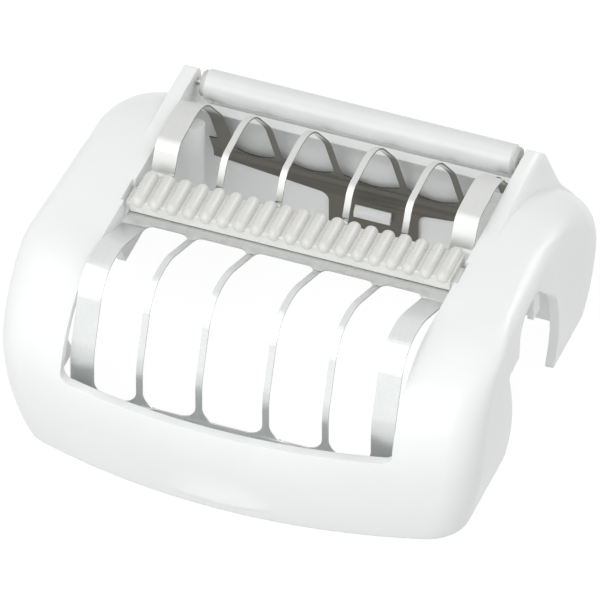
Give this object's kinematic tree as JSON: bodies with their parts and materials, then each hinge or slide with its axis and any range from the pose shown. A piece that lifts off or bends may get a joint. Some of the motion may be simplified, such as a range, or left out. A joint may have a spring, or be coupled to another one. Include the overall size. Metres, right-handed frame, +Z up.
{
  "type": "clip-on guard head",
  "caption": "Clip-on guard head: moulded frame with an open window, spring-steel band cage, floating ribbed bar and a free-turning roller behind it.",
  "frame": {"origin": "middle of the bottom rim, in the plane it rests on", "axes": "+X across the head to its right, +Y from the front apron to the rear wall, +Z up through the window"},
  "size_m": [0.064, 0.0572, 0.0278],
  "materials": {
    "frame_white": "fine grained, softly satin",
    "band_steel": "bright rolled spring steel",
    "bar_grey": "satin",
    "roller_grey": "satin",
    "bush_grey": "matt",
    "pin_steel": "ground"
  },
  "bodies": {
    "frame": {"frame_shell": "frame_white", "band_cage": "band_steel", "front_clamp": "frame_white", "roller_axle": "pin_steel"},
    "bar": {"ribbed_bar": "bar_grey", "bar_keeper": "bar_grey"},
    "roller": {"roller_tube": "roller_grey", "roller_bush_left": "bush_grey", "roller_bush_right": "bush_grey"}
  },
  "joints": [
    {"name": "bar_float", "type": "slide", "parent": "frame", "child": "bar", "axis": [0, 0, 1], "range_m": [-0.0012, 0], "stiffness_N_per_m": 60, "springref_m": 0.0002, "deforming": ["band_cage"]},
    {"name": "roller_spin", "type": "hinge", "parent": "frame", "child": "roller", "pos_m": [0, 0.02225, 0.0244], "axis": [1, 0, 0], "continuous": true}
  ]
}
